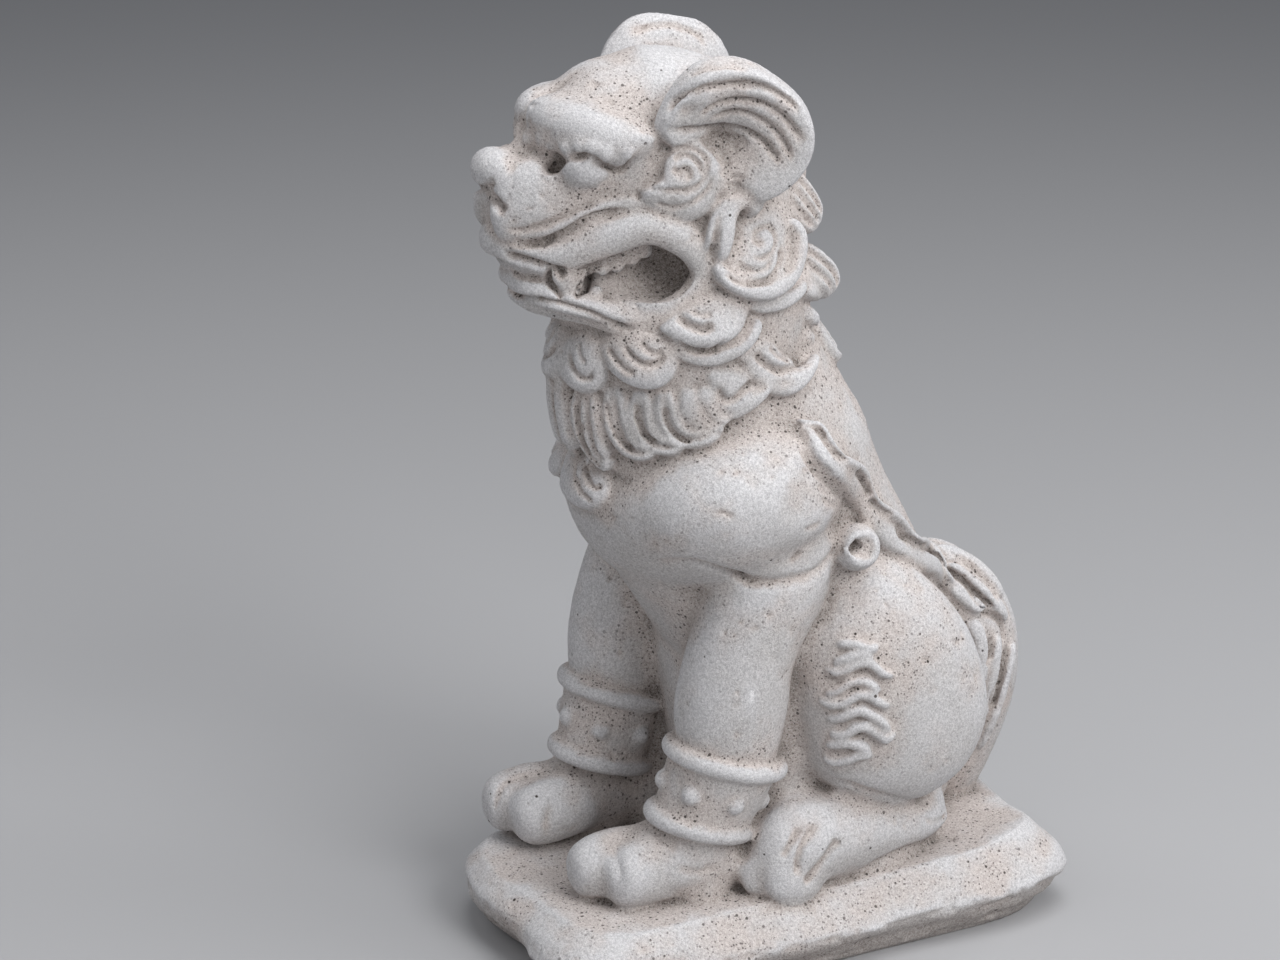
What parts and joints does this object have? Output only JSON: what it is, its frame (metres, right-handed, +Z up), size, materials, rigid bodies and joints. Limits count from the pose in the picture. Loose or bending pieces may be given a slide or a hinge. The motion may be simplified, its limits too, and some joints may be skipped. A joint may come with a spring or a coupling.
{
  "type": "guardian lion statue",
  "caption": "Seated guardian lion statue with an open mouth, curled mane, studded foreleg bands and a tail up its back, solid cast with a rough rock base.",
  "frame": {"origin": "middle of the flat underside of the rock base", "axes": "+Z up; the lion looks along -Y with its left side towards +X"},
  "size_m": [0.1714, 0.3066, 0.4505],
  "materials": {
    "cement": "rough cast cement and sand, warm light grey with dark pits"
  },
  "bodies": {
    "root": {"guardian_lion": "cement"}
  },
  "joints": []
}
